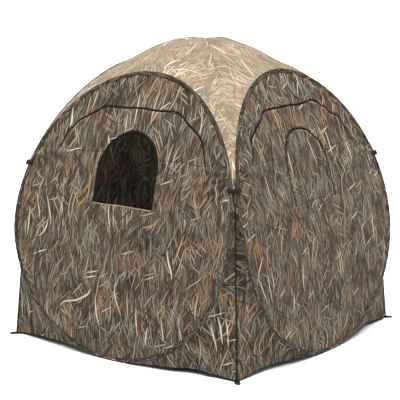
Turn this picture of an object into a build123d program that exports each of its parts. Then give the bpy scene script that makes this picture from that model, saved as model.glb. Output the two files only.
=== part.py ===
"""Pop up ground blind: four bowed spring steel hoops skinned with cloth, a domed roof and gussets."""

import os
from math import asin, atan2, cos, degrees, hypot, radians, sin, sqrt

from build123d import *

os.makedirs("parts", exist_ok=True)

# --- Hoops: the front view of each wall panel is two half ellipses that share one width ----------------
panel_half_width = 736.0
panel_height = 1530.0
widest_height = 717.0
bow_radius = 2962.0  # each panel is bowed on a level cylinder, so that its top leans in
bow_centre_height = 81.0
hoop_gap = 14.0  # clear space between neighbouring hoops where they come closest

# --- Ground plan and roof ------------------------------------------------------------------------------
stake_half_span = 762.0  # from the centre line to a stake corner: a 60 inch square
roof_apex_rise = 130.0  # above the top of the hoops
roof_hip_shares = (0.94, 0.746, 0.492)  # hip height a quarter, half and three quarters out, tie to apex
roof_cloth = 2.0
roof_gap = 1.5
roof_bulge = 0.06  # how far a gore swells between hoop and hip, as a share of its depth
roof_end_share = 0.88  # how far along the hoop the roof cloth reaches, as a share of the half width

# --- Hoop band, ferrule and sleeve ---------------------------------------------------------------------
band_thickness = 1.5
band_width = 8.0
band_inset = 9.0
ferrule_wall = 0.5
ferrule_length = 60.0
ferrule_play = 0.15
sleeve_width = 24.0
sleeve_half_depth = 6.0
sleeve_skin = 1.2
sleeve_seam_width = 6.0

# --- Cloth walls and their openings --------------------------------------------------------------------
wall_cloth = 1.5
cut_gap = 1.0  # clear space on each side of a zipper tape
zip_width = 8.0
zip_depth = 3.0
flap_fold_height = 1092.0
flap_half_width = 500.0
flap_shoulder = (432.0, 133.0)  # across, and above the fold
flap_top = (250.0, 246.0)
flap_corner_radius = 70.0
fold_gap = 2.0
arc_zip_foot = 8.0  # the arc zipper ends this far above the fold, clear of the flap's turning foot
hinge_setback = 6.0  # a cloth hinge turns this far inside the wall
window_half_width = 200.0
window_sill = 835.0
window_side_height = 185.0
net_overlap = 16.0
net_thickness = 1.0
net_standoff = 1.2

# --- Door in the back wall -----------------------------------------------------------------------------
door_half_width = 290.0
door_sill = 150.0
door_side_height = 860.0
door_hinge_hand = 1  # the door hangs on the right, seen from outside, clear of the folding walls

# --- Small pieces --------------------------------------------------------------------------------------
slider_length = 16.0
slider_width = 6.0
slider_depth = 3.0
slider_clearance = 0.4
arch_slider_gap = 1.8  # more room where a slider runs round an arch in a bowed cloth
pull_length = 38.0
pull_width = 5.0
pull_thickness = 1.6
tie_width = 20.0
tie_length = 42.0
tie_thickness = 2.0
tie_gap = 0.5
stake_tab_width = 30.0
stake_tab_length = 60.0
stake_tab_thickness = 3.0
stake_tab_lift = 3.0
eyelet_hole_radius = 6.0
eyelet_flange_radius = 11.0
eyelet_wall = 1.2
eyelet_flange = 0.8
gusset_cloth = 1.5
gusset_foot = 8.0
gusset_top = 850.0
corner_gap = 1.5
rod_radius = 4.0
rod_foot_share = 0.80  # how far out the roof rods reach, as a share of the way to the corner tie
rod_cloth_gap = 6.0
rod_cross_gap = 3.0

turns = {"front": 0.0, "right": 90.0, "back": 180.0, "left": 270.0}
window_sides = ("front", "right", "left")
fold_hinge_inset = 7.0
fold_apex_height = 3200.0  # the four fold hinges lean in and meet this far up
tie_sides = ("front", "back")


# --- The bowed panel surface ---------------------------------------------------------------------------
def half_width(height, inset=0.0):
    """Half the panel's width at a height, a set distance inside the hoop's outer edge."""
    rise = panel_height - widest_height if height > widest_height else widest_height
    share = (height - widest_height) / (rise - inset)
    return (panel_half_width - inset) * sqrt(max(0.0, 1.0 - share * share))


def bow_fall(height):
    """How far the bowed panel has leaned back from its furthest bulge at a height."""
    return bow_radius - sqrt(bow_radius**2 - (height - bow_centre_height) ** 2)


closest_reach = 0.0
tie_height = 0.0
for step in range(1, 400):
    level = panel_height * step / 400
    if half_width(level) + bow_fall(level) > closest_reach:
        closest_reach = half_width(level) + bow_fall(level)
        tie_height = level
panel_reach = closest_reach + hoop_gap
bow_centre_depth = bow_radius - panel_reach
tie_reach = (half_width(tie_height) + panel_reach - bow_fall(tie_height)) / 2


def reach_at(height, lift=0.0):
    """Distance of the panel's surface from the blind's centre plane, lifted off it by a set amount."""
    return sqrt((bow_radius + lift) ** 2 - (height - bow_centre_height) ** 2) - bow_centre_depth


def face_plane(turn):
    """Upright plane through the blind's axis: x runs across the panel, y runs up and z points outward."""
    angle = radians(turn)
    return Plane(origin=(0, 0, 0), x_dir=(cos(angle), sin(angle), 0), z_dir=(sin(angle), -cos(angle), 0))


def side_plane(turn, across=0.0):
    """Upright plane seen from the panel's end: x points outward and y runs up."""
    angle = radians(turn)
    shift = (across * cos(angle), across * sin(angle), 0)
    return Plane(origin=shift, x_dir=(sin(angle), -cos(angle), 0), z_dir=(-cos(angle), -sin(angle), 0))


def skin_plane(turn, across, height, lift, facing=1):
    """Plane laid on the panel's curved surface: x runs across, z points outward, or inward if facing is -1."""
    lean = asin((height - bow_centre_height) / bow_radius)
    radius = bow_radius + lift
    local = Vector(radius * cos(lean) - bow_centre_depth, radius * sin(lean) + bow_centre_height, 0)
    face = face_plane(turn)
    normal = face.z_dir * cos(lean) + face.y_dir * sin(lean)
    seat = side_plane(turn, across).from_local_coords(local)
    return Plane(seat, x_dir=face.x_dir, z_dir=normal * facing)


def bow_slab(turn, lift_in, lift_out):
    """A slab of the bowed surface between two lifts, wider than any panel."""
    with BuildPart() as slab:
        with BuildSketch(side_plane(turn)):
            with Locations((-bow_centre_depth, bow_centre_height)):
                Circle(bow_radius + lift_out)
                Circle(bow_radius + lift_in, mode=Mode.SUBTRACT)
            with Locations((panel_reach / 2, panel_height / 2)):
                Rectangle(panel_reach * 1.5, panel_height * 1.5, mode=Mode.INTERSECT)
        extrude(amount=panel_half_width * 1.1, both=True)
    return slab.part


def diagonal_plane(heading, height):
    """Level plane at a height whose x runs out along a heading."""
    way = (cos(radians(heading)), sin(radians(heading)), 0)
    return Plane(origin=(0, 0, height), x_dir=way, z_dir=(0, 0, 1))


def hoop_outline(inset):
    """Closed outline of a panel in its own plane, a set distance inside the hoop's outer edge."""
    centre = (0, widest_height)
    across = panel_half_width - inset
    rise = panel_height - widest_height - inset
    with BuildLine(Plane.XY) as outline:
        EllipticalCenterArc(centre, across, rise, start_angle=0, arc_size=180)
        EllipticalCenterArc(centre, across, widest_height - inset, start_angle=180, arc_size=180)
    return outline.edges()


def flap_outline(margin, foot):
    """Closed outline of the drop flap grown by a margin, from a foot height up over its shoulders."""
    shoulder = (flap_shoulder[0], flap_fold_height + flap_shoulder[1])
    top = (flap_top[0], flap_fold_height + flap_top[1])
    end = (2 * flap_half_width - shoulder[0], 2 * flap_fold_height - shoulder[1])
    points = [end, shoulder, top, (-top[0], top[1]), (-shoulder[0], shoulder[1]), (-end[0], end[1])]
    with BuildSketch(Plane.XY) as shape:
        with BuildLine():
            FilletPolyline(*points, radius=flap_corner_radius)
            Line(points[-1], points[0])
        make_face()
        offset(amount=margin)
        with Locations((0, foot + panel_height / 2)):
            Rectangle(panel_half_width * 2, panel_height, mode=Mode.INTERSECT)
    return shape.face().outer_wire().edges()


def arch_outline(centre_height, half, foot):
    """Closed outline of an upright opening with a half round top."""
    with BuildLine(Plane.XY) as outline:
        Line((-half, foot), (half, foot))
        Line((half, foot), (half, centre_height))
        CenterArc((0, centre_height), half, 0, 180)
        Line((-half, centre_height), (-half, foot))
    return outline.edges()


window_spring = window_sill + window_side_height
door_spring = door_sill + door_side_height
zip_half = zip_width / 2
slider_lift = zip_depth / 2 + slider_clearance
arc_slider_across = flap_top[0] - flap_corner_radius / 2
cut_margin = zip_half + cut_gap
window_edge = window_half_width + cut_margin
cloth_half = wall_cloth / 2
wall_inset = sleeve_width - sleeve_seam_width


def finish(piece, name):
    """Name a finished piece and write it to its own file."""
    piece.label = name
    export_step(piece, f"parts/{name}.step")


def fold_axis(turn, height, inward=hinge_setback):
    """A level hinge line across a panel, a little inside its cloth."""
    plane = side_plane(turn)
    point = plane.from_local_coords(Vector(reach_at(height) - inward, height, 0))
    return Axis(point, face_plane(turn).x_dir)


# --- Hoops, ferrules, sleeves and walls: the same on all four sides ------------------------------------
for side, turn in turns.items():
    band_slab = bow_slab(turn, -band_width / 2, band_width / 2)
    with BuildPart() as hoop:
        with BuildSketch(face_plane(turn)):
            make_face(hoop_outline(band_inset))
            make_face(hoop_outline(band_inset + band_thickness), mode=Mode.SUBTRACT)
        extrude(amount=panel_reach * 1.2)
        add(band_slab, mode=Mode.INTERSECT)
    finish(hoop.part, f"{side}_hoop")

    ferrule_half = band_width / 2 + ferrule_play + ferrule_wall
    ferrule_outer = band_inset - ferrule_play - ferrule_wall
    ferrule_inner = band_inset + band_thickness + ferrule_play + ferrule_wall
    bore_slab = bow_slab(turn, -band_width / 2 - ferrule_play, band_width / 2 + ferrule_play)
    ferrule_slab = bow_slab(turn, -ferrule_half, ferrule_half)
    with BuildPart() as ferrule_bore:
        with BuildSketch(face_plane(turn)):
            make_face(hoop_outline(band_inset - ferrule_play))
            make_face(hoop_outline(band_inset + band_thickness + ferrule_play), mode=Mode.SUBTRACT)
        extrude(amount=panel_reach * 1.2)
        add(bore_slab, mode=Mode.INTERSECT)
    with BuildPart() as ferrule:
        with BuildSketch(face_plane(turn)):
            make_face(hoop_outline(ferrule_outer))
            make_face(hoop_outline(ferrule_inner), mode=Mode.SUBTRACT)
            with Locations((0, ferrule_inner)):
                Rectangle(ferrule_length, ferrule_inner * 3, mode=Mode.INTERSECT)
        extrude(amount=panel_reach * 1.2)
        add(ferrule_slab, mode=Mode.INTERSECT)
        add(ferrule_bore.part, mode=Mode.SUBTRACT)
    finish(ferrule.part, f"{side}_ferrule")

    sleeve_slab = bow_slab(turn, -sleeve_half_depth, sleeve_half_depth)
    channel_depth = sleeve_half_depth - sleeve_skin
    channel_slab = bow_slab(turn, -channel_depth, channel_depth)
    seam_slab = bow_slab(turn, -cloth_half, cloth_half)
    with BuildPart() as channel:
        with BuildSketch(face_plane(turn)):
            make_face(hoop_outline(sleeve_skin * 2))
            make_face(hoop_outline(wall_inset), mode=Mode.SUBTRACT)
        extrude(amount=panel_reach * 1.2)
        add(channel_slab, mode=Mode.INTERSECT)
    with BuildPart() as seam_slot:
        with BuildSketch(face_plane(turn)):
            make_face(hoop_outline(wall_inset - 1.0))
            make_face(hoop_outline(sleeve_width + 1.0), mode=Mode.SUBTRACT)
        extrude(amount=panel_reach * 1.2)
        add(seam_slab, mode=Mode.INTERSECT)
    with BuildPart() as sleeve:
        with BuildSketch(face_plane(turn)):
            make_face(hoop_outline(0))
            make_face(hoop_outline(sleeve_width), mode=Mode.SUBTRACT)
        extrude(amount=panel_reach * 1.2)
        add(sleeve_slab, mode=Mode.INTERSECT)
        add(channel.part, mode=Mode.SUBTRACT)
        add(seam_slot.part, mode=Mode.SUBTRACT)
    finish(sleeve.part, f"{side}_sleeve")

    with BuildPart() as wall:
        with BuildSketch(face_plane(turn)):
            make_face(hoop_outline(wall_inset))
            if side in window_sides:
                make_face(flap_outline(cut_margin, flap_fold_height), mode=Mode.SUBTRACT)
                make_face(arch_outline(window_spring, window_edge, window_sill), mode=Mode.SUBTRACT)
            else:
                door_edge = door_half_width + cut_margin
                door_foot = door_sill - cut_margin
                make_face(arch_outline(door_spring, door_edge, door_foot), mode=Mode.SUBTRACT)
        extrude(amount=panel_reach * 1.2)
        add(seam_slab, mode=Mode.INTERSECT)
    finish(wall.part, f"{side}_wall")


# --- Windows: drop flap, window flap, zipper tapes and sliders -----------------------------------------
def arch_plane(turn):
    """Plane of the window's arch: through its two springing points and its crown, facing outward."""
    face = face_plane(turn)
    rise = window_half_width
    fall = reach_at(window_spring) - reach_at(window_spring + rise)
    normal = face.z_dir * rise + face.y_dir * fall
    centre = side_plane(turn).from_local_coords(Vector(reach_at(window_spring), window_spring, 0))
    return Plane(centre, x_dir=face.x_dir, z_dir=normal)


def make_slider(seat_plane, pull_way):
    """A zipper slider whose body stands on a plane, with its pull laid along the tape the way given."""
    turned = 90 if pull_way[0] == 0 else 0
    pull_reach = pull_length / 2 - slider_width / 2
    with BuildPart() as slider:
        with BuildSketch(seat_plane):
            SlotOverall(slider_length, slider_width, rotation=turned)
        extrude(amount=slider_depth)
        with BuildSketch(seat_plane.offset(slider_depth)):
            with Locations((pull_way[0] * pull_reach, pull_way[1] * pull_reach)):
                SlotOverall(pull_length, pull_width, rotation=turned)
        extrude(amount=pull_thickness)
    return slider.part


for side in window_sides:
    turn = turns[side]
    cloth_slab = bow_slab(turn, -cloth_half, cloth_half)
    zip_slab = bow_slab(turn, -zip_depth / 2, zip_depth / 2)
    flap_edge = window_half_width - cut_margin

    with BuildPart() as drop_flap:
        with BuildSketch(face_plane(turn)):
            make_face(flap_outline(-cut_margin, flap_fold_height + fold_gap))
            make_face(arch_outline(window_spring, window_edge, window_sill), mode=Mode.SUBTRACT)
        extrude(amount=panel_reach * 1.2)
        add(cloth_slab, mode=Mode.INTERSECT)
    finish(drop_flap.part, f"{side}_drop_flap")

    with BuildPart() as arc_zip:
        with BuildSketch(face_plane(turn)):
            make_face(flap_outline(zip_half, flap_fold_height + arc_zip_foot))
            make_face(flap_outline(-zip_half, flap_fold_height), mode=Mode.SUBTRACT)
        extrude(amount=panel_reach * 1.2)
        add(zip_slab, mode=Mode.INTERSECT)
    finish(arc_zip.part, f"{side}_arc_zip")

    with BuildPart() as zip_sides:
        with BuildSketch(face_plane(turn)):
            zip_mid = (window_sill + flap_fold_height) / 2
            zip_run = flap_fold_height - window_sill
            make_face(arch_outline(window_spring, window_half_width + zip_half, window_sill + 1.0))
            inner_arch = arch_outline(window_spring, window_half_width - zip_half, window_sill)
            make_face(inner_arch, mode=Mode.SUBTRACT)
            with Locations((0, zip_mid)):
                Rectangle(window_half_width * 3, zip_run, mode=Mode.INTERSECT)
        extrude(amount=panel_reach * 1.2)
        add(zip_slab, mode=Mode.INTERSECT)
    finish(zip_sides.part, f"{side}_window_zip_sides")

    with BuildPart() as zip_arch:
        with BuildSketch(face_plane(turn)):
            make_face(arch_outline(window_spring, window_half_width + zip_half, window_sill))
            make_face(inner_arch, mode=Mode.SUBTRACT)
            with Locations((0, flap_fold_height + fold_gap + window_half_width)):
                Rectangle(window_half_width * 3, window_half_width * 2, mode=Mode.INTERSECT)
        extrude(amount=panel_reach * 1.2)
        add(zip_slab, mode=Mode.INTERSECT)
    finish(zip_arch.part, f"{side}_window_zip_arch")

    with BuildPart() as window_flap:
        with BuildSketch(face_plane(turn)):
            make_face(arch_outline(window_spring, flap_edge, window_sill + fold_gap))
        extrude(amount=panel_reach * 1.2)
        add(cloth_slab, mode=Mode.INTERSECT)
    closed_flap = window_flap.part
    if side == "front":
        flap_top_height = window_spring + flap_edge
        flap_mid_height = (window_sill + flap_top_height) / 2
        flap_back = reach_at(window_sill) - hinge_setback - reach_at(flap_mid_height)
        flap_hang = 180.0 - degrees(atan2(flap_back, flap_mid_height - window_sill))
        closed_flap = closed_flap.rotate(fold_axis(turn, window_sill), -flap_hang)
        print(f"front window flap hangs {flap_hang:.2f} degrees from closed")
    finish(closed_flap, f"{side}_window_flap")

    arc_seat = skin_plane(turn, arc_slider_across, flap_fold_height + flap_top[1], -slider_lift, facing=-1)
    finish(make_slider(arc_seat, (-1, 0)), f"{side}_arc_slider")
    arch = arch_plane(turn)
    arch_seat_origin = arch.from_local_coords(Vector(window_half_width, 0, -slider_lift - arch_slider_gap))
    arch_seat = Plane(arch_seat_origin, x_dir=arch.x_dir, z_dir=arch.z_dir * -1)
    finish(make_slider(arch_seat, (0, 1)), f"{side}_window_slider")

net_edge = window_half_width + net_overlap
net_slab = bow_slab(turns["front"], cloth_half + net_standoff, cloth_half + net_standoff + net_thickness)
with BuildPart() as net:
    with BuildSketch(face_plane(turns["front"])):
        make_face(arch_outline(window_spring, net_edge, window_sill - net_overlap))
    extrude(amount=panel_reach * 1.2)
    add(net_slab, mode=Mode.INTERSECT)
finish(net.part, "front_net")

# --- Door ----------------------------------------------------------------------------------------------
back_turn = turns["back"]
door_cloth_slab = bow_slab(back_turn, -cloth_half, cloth_half)
door_zip_slab = bow_slab(back_turn, -zip_depth / 2, zip_depth / 2)
with BuildPart() as door:
    with BuildSketch(face_plane(back_turn)):
        make_face(arch_outline(door_spring, door_half_width - cut_margin, door_sill + cut_margin))
    extrude(amount=panel_reach * 1.2)
    add(door_cloth_slab, mode=Mode.INTERSECT)
finish(door.part, "door")

with BuildPart() as door_zip:
    with BuildSketch(face_plane(back_turn)):
        make_face(arch_outline(door_spring, door_half_width + zip_half, door_sill - zip_half))
        inner_door = arch_outline(door_spring, door_half_width - zip_half, door_sill + zip_half)
        make_face(inner_door, mode=Mode.SUBTRACT)
        with Locations((door_hinge_hand * door_half_width, door_sill + door_side_height / 2)):
            Rectangle(zip_width * 4, door_side_height, mode=Mode.SUBTRACT)
    extrude(amount=panel_reach * 1.2)
    add(door_zip_slab, mode=Mode.INTERSECT)
finish(door_zip.part, "door_zip")

door_slider_height = door_sill + pull_length + zip_width
door_slider_across = -door_hinge_hand * door_half_width
door_seat = skin_plane(back_turn, door_slider_across, door_slider_height, -slider_lift, facing=-1)
finish(make_slider(door_seat, (0, 1)), "door_slider")


# --- Roof: one gore on each hoop, meeting its neighbours along four hip seams --------------------------
def hip_height(share):
    """Height of the hip seam, a smooth curve, at a share of the way from the apex out to the corner tie."""
    apex = panel_height + roof_apex_rise
    knots = (apex, *(tie_height + (apex - tie_height) * share for share in roof_hip_shares), tie_height)
    place = min(share, 1.0) * (len(knots) - 1)
    low = min(int(place), len(knots) - 2)
    before = knots[low - 1] if low > 0 else knots[1]
    after = knots[min(low + 2, len(knots) - 1)]
    start_slope = (knots[low + 1] - before) / 2
    end_slope = (after - knots[low]) / 2
    t = place - low
    start_part = (2 * t**3 - 3 * t**2 + 1) * knots[low] + (t**3 - 2 * t**2 + t) * start_slope
    return start_part + (3 * t**2 - 2 * t**3) * knots[low + 1] + (t**3 - t**2) * end_slope


def hoop_top_at(across):
    """Height of the hoop's outer edge over a distance from its middle, on its upper half."""
    return widest_height + (panel_height - widest_height) * sqrt(1.0 - (across / panel_half_width) ** 2)


roof_stations = 5
for side, turn in turns.items():
    with BuildPart() as roof:
        for hand in (-1, 1):
            for station in range(roof_stations):
                across = panel_half_width * roof_end_share * station / (roof_stations - 1)
                edge_height = hoop_top_at(across) - roof_gap
                edge_reach = reach_at(edge_height) - sleeve_half_depth - roof_gap
                seam_reach = min(across + roof_gap, edge_reach - roof_gap)
                seam_height = hip_height(across / tie_reach)
                bulge = (edge_reach - seam_reach) * roof_bulge
                middle = ((edge_reach + seam_reach) / 2, (edge_height + seam_height) / 2 + bulge)
                low_start = (edge_reach, edge_height - roof_cloth)
                low_end = (seam_reach, seam_height - roof_cloth)
                with BuildSketch(side_plane(turn, hand * across)):
                    with BuildLine():
                        ThreePointArc((edge_reach, edge_height), middle, (seam_reach, seam_height))
                        Line((seam_reach, seam_height), low_end)
                        ThreePointArc(low_end, (middle[0], middle[1] - roof_cloth), low_start)
                        Line(low_start, (edge_reach, edge_height))
                    make_face()
            loft()
    finish(roof.part, f"{side}_roof")


# --- Roof rods: two glass fibre rods that cross under the apex and hold the dome up --------------------
def rod_points(drop):
    """Five points of a rod's arch under a hip seam, from one foot over the apex to the other."""
    points = []
    for share in (-1.0, -0.5, 0.0, 0.5, 1.0):
        out = share * rod_foot_share
        height = hip_height(abs(out)) - roof_cloth - rod_cloth_gap - rod_radius - drop
        points.append((out * tie_reach * sqrt(2.0), height))
    return points


rods = {"roof_rod_near": (-45.0, 0.0), "roof_rod_far": (45.0, 2 * rod_radius + rod_cross_gap)}
for name, (heading, drop) in rods.items():
    rod_plane = Plane(
        origin=(0, 0, 0),
        x_dir=(cos(radians(heading)), sin(radians(heading)), 0),
        z_dir=(sin(radians(heading)), -cos(radians(heading)), 0),
    )
    points = rod_points(drop)
    with BuildPart() as rod:
        with BuildLine(rod_plane) as path:
            Spline(*points)
        with BuildSketch(path.wire() ^ 0):
            Circle(rod_radius)
        sweep(path=path.wire())
    finish(rod.part, name)


# --- Corner gussets: cloth from each hoop's lower quarter to the corner seam, down to the stake corner -
def corner_reach(height):
    """How far out the corner seam stands at a height, along either wall."""
    return tie_reach + (stake_half_span - tie_reach) * (1.0 - height / tie_height)


gusset_levels = 8
for side, turn in turns.items():
    room_slab = bow_slab(turn, -sleeve_half_depth - corner_gap, sleeve_half_depth + corner_gap)
    with BuildPart() as hoop_room:
        with BuildSketch(face_plane(turn)):
            make_face(hoop_outline(-corner_gap))
        extrude(amount=panel_reach * 1.2)
        add(room_slab, mode=Mode.INTERSECT)
    with BuildPart() as gussets:
        for hand in (-1, 1):
            for level in range(gusset_levels):
                share = level / (gusset_levels - 1)
                height = gusset_foot + (gusset_top - gusset_foot) * share**1.6
                hoop_side = half_width(height) - sleeve_width / 2
                hoop_reach = reach_at(height)
                seam_side = corner_reach(height) - corner_gap
                seam_reach = corner_reach(height) + corner_gap
                length = hypot(seam_side - hoop_side, seam_reach - hoop_reach)
                off_side = (hoop_reach - seam_reach) / length * gusset_cloth / 2
                off_reach = (seam_side - hoop_side) / length * gusset_cloth / 2
                level_plane = Plane(origin=(0, 0, height), x_dir=face_plane(turn).x_dir, z_dir=(0, 0, -1))
                with BuildSketch(level_plane):
                    with BuildLine():
                        Polyline(
                            (hand * (hoop_side + off_side), hoop_reach + off_reach),
                            (hand * (seam_side + off_side), seam_reach + off_reach),
                            (hand * (seam_side - off_side), seam_reach - off_reach),
                            (hand * (hoop_side - off_side), hoop_reach - off_reach),
                            close=True,
                        )
                    make_face()
            loft(ruled=True)
        add(hoop_room.part, mode=Mode.SUBTRACT)
    finish(gussets.part, f"{side}_gussets")

# --- Stake tabs with eyelets, and corner ties: on the front and back panels, which hold both corners 
tab_out = stake_half_span * sqrt(2.0) + stake_tab_length / 2 - stake_tab_width / 2
eyelet_out = tab_out + stake_tab_length / 2 - stake_tab_width / 2
eyelet_barrel = eyelet_hole_radius + eyelet_wall
tie_across = half_width(tie_height) - tie_width / 2 - sleeve_skin
for side in tie_sides:
    turn = turns[side]
    corner_headings = (turn - 45.0, turn - 135.0)
    with BuildPart() as tabs:
        for heading in corner_headings:
            with BuildSketch(diagonal_plane(heading, stake_tab_lift)):
                with Locations((tab_out, 0)):
                    SlotOverall(stake_tab_length, stake_tab_width)
                with Locations((eyelet_out, 0)):
                    Circle(eyelet_barrel, mode=Mode.SUBTRACT)
            extrude(amount=stake_tab_thickness)
    finish(tabs.part, f"{side}_stake_tabs")

    with BuildPart() as eyelets:
        for heading in corner_headings:
            under = diagonal_plane(heading, stake_tab_lift - eyelet_flange)
            for flange_lift in (0.0, eyelet_flange + stake_tab_thickness):
                with BuildSketch(under.offset(flange_lift)):
                    with Locations((eyelet_out, 0)):
                        Circle(eyelet_flange_radius)
                extrude(amount=eyelet_flange)
            for radius, cut in ((eyelet_barrel, Mode.ADD), (eyelet_hole_radius, Mode.SUBTRACT)):
                with BuildSketch(under):
                    with Locations((eyelet_out, 0)):
                        Circle(radius)
                extrude(amount=stake_tab_thickness + 2 * eyelet_flange, mode=cut)
    finish(eyelets.part, f"{side}_stake_eyelets")

    with BuildPart() as ties:
        for hand in (-1, 1):
            tie_seat = skin_plane(turn, hand * tie_across, tie_height, sleeve_half_depth + tie_gap)
            with BuildSketch(tie_seat):
                SlotOverall(tie_length, tie_width, rotation=90)
            extrude(amount=tie_thickness)
    finish(ties.part, f"{side}_corner_ties")

hinge_out = tie_reach - fold_hinge_inset
print(f"panel reach {panel_reach:.2f}, tie height {tie_height:.2f}")
print(f"fold hinges at {hinge_out:.2f} across and out, and their axes meet {fold_apex_height:.1f} up")
for name, height in (("flap", flap_fold_height), ("window", window_sill)):
    print(f"{name} hinge: {reach_at(height) - hinge_setback:.3f} out, {height:.1f} up")
front_arch = arch_plane(turns["front"])
print(f"arch centre: {front_arch.origin}, axis {front_arch.z_dir}")
for height in (door_sill, door_spring):
    print(f"door hinge passes {reach_at(height) - hinge_setback:.3f} out at {height:.1f} up")
print(f"bow centre {bow_centre_depth:.3f} beyond the blind's middle, {bow_centre_height} up")
eyelet_level = stake_tab_lift + stake_tab_thickness / 2
print(f"eyelets {eyelet_out / sqrt(2.0):.3f} across and out, {eyelet_level:.2f} up")
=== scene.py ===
"""Pop up ground blind: cloth, zippers, webbing and rods laid on the hoops of the frame."""
import math
import bpy
import numpy as np
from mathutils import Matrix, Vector, geometry


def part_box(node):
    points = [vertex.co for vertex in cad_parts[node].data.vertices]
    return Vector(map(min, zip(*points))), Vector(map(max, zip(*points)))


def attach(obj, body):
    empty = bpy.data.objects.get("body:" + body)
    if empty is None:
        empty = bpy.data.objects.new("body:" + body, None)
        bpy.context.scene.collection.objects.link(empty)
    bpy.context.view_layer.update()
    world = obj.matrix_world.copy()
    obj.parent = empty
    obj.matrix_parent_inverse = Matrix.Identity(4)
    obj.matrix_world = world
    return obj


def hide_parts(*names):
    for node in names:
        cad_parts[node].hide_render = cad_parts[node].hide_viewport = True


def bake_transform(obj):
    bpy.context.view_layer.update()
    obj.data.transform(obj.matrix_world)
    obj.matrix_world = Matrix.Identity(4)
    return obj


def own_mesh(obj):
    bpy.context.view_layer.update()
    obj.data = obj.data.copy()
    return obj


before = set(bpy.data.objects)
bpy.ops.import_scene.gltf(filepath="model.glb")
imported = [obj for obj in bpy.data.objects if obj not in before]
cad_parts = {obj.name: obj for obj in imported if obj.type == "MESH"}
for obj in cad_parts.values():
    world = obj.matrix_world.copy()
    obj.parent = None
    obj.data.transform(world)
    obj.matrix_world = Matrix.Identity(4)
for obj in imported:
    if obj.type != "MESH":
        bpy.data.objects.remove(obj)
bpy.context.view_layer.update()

# --- Studio --------------------------------------------------------------------------------------------
# A pale floor under a white sky, a broad high light and a softer lamp on each side in front, as in a
# catalogue picture. The camera stands well off one corner, a little above the blind's waist.
camera_azimuth = 0.6313
camera_elevation = 0.2053
camera_distance = 9.372
camera_target = Vector((-0.031, 0.0, 0.739))
camera_back = Vector((
    math.sin(camera_azimuth) * math.cos(camera_elevation),
    -math.cos(camera_azimuth) * math.cos(camera_elevation),
    math.sin(camera_elevation),
))
camera_data = bpy.data.cameras.new("camera")
camera_data.lens = 147.3
camera = bpy.data.objects.new("camera", camera_data)
bpy.context.scene.collection.objects.link(camera)
camera.location = camera_target + camera_back * camera_distance
camera.rotation_mode = "QUATERNION"
camera.rotation_quaternion = (-camera_back).to_track_quat("-Z", "Y")
bpy.context.scene.camera = camera
bpy.context.scene.view_settings.view_transform = "Standard"

sweep_mesh = bpy.data.meshes.new("studio_floor")
floor_half = 30
sweep_mesh.from_pydata(
    [(x * floor_half, y * floor_half, 0) for x, y in ((-1, -1), (1, -1), (1, 1), (-1, 1))], [], [(0, 1, 2, 3)]
)
sweep = bpy.data.objects.new("studio_floor", sweep_mesh)
bpy.context.scene.collection.objects.link(sweep)
sweep_paint = bpy.data.materials.new("studio_white")
sweep_paint.use_nodes = True
sweep_shader = sweep_paint.node_tree.nodes["Principled BSDF"]
sweep_shader.inputs["Base Color"].default_value = (0.66, 0.66, 0.66, 1)
sweep_shader.inputs["Roughness"].default_value = 0.9
sweep_mesh.materials.append(sweep_paint)

sky = bpy.data.worlds.new("studio")
sky.use_nodes = True
sky_light = sky.node_tree.nodes["Background"]
sky_light.inputs["Color"].default_value = (1.0, 1.0, 1.0, 1)
sky_light.inputs["Strength"].default_value = 0.42
bpy.context.scene.world = sky

# kind, place, spread (an angle for the sun, a side in metres for a lamp) and power
lamps = {
    "overhead": ("SUN", (1.0, -1.4, 5.0), 0.85, 8.8),
    "left_front": ("AREA", (-4.2, -5.5, 2.8), 3.0, 90.0),
    "right_front": ("AREA", (6.0, -2.0, 2.6), 3.0, 95.0),
}
for lamp_name, (kind, place, size, power) in lamps.items():
    lamp_data = bpy.data.lights.new(lamp_name, kind)
    lamp_data.energy = power
    if kind == "SUN":
        lamp_data.angle = size
    else:
        lamp_data.size = size
    lamp = bpy.data.objects.new(lamp_name, lamp_data)
    lamp.location = place
    lamp.rotation_mode = "QUATERNION"
    lamp.rotation_quaternion = (-Vector(place)).to_track_quat("-Z", "Y")
    bpy.context.scene.collection.objects.link(lamp)

# --- Walls ---------------------------------------------------------------------------------------------
# Each wall is one piece of printed polyester, coated black inside, sewn all round into the sleeve of a
# bowed hoop. The hoop pulls it tight, so it puckers along the seam and creases towards the corner ties.
sides = {"front": 0.0, "right": math.pi / 2, "back": math.pi, "left": 3 * math.pi / 2}
window_sides = ("front", "right", "left")
sleeve_low, sleeve_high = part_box("front_sleeve")
hoop_half = sleeve_high.x
hoop_top = sleeve_high.z
hoop_waist = 0.717
sleeve_wide = 0.024
sleeve_half_thick = 0.006
bow_radius = 2.962
bow_level = 0.081
panel_out = -sleeve_low.y - sleeve_half_thick
tie_level = sum(p.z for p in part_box("front_corner_ties")) / 2
cloth_thick = 0.0009
cloth_step = 0.011


def panel_reach(z, lift=0.0):
    """How far out a panel's bowed surface stands at a height."""
    return panel_out - bow_radius + np.sqrt((bow_radius + lift) ** 2 - (z - bow_level) ** 2)


def turn_to(side, points):
    """Points laid out for the front panel, turned to another side."""
    c, s = math.cos(sides[side]), math.sin(sides[side])
    x, y, z = points[:, 0], points[:, 1], points[:, 2]
    return np.stack([c * x - s * y, s * x + c * y, z], 1)


def on_panel(side, u, z, lift):
    """Points at a place across and up a panel, lifted square off its bowed surface."""
    lean = np.arcsin((z - bow_level) / bow_radius)
    out = panel_out - bow_radius + (bow_radius + lift) * np.cos(lean)
    up = bow_level + (bow_radius + lift) * np.sin(lean)
    return turn_to(side, np.stack([u + 0 * out, -out, up], 1))


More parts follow.
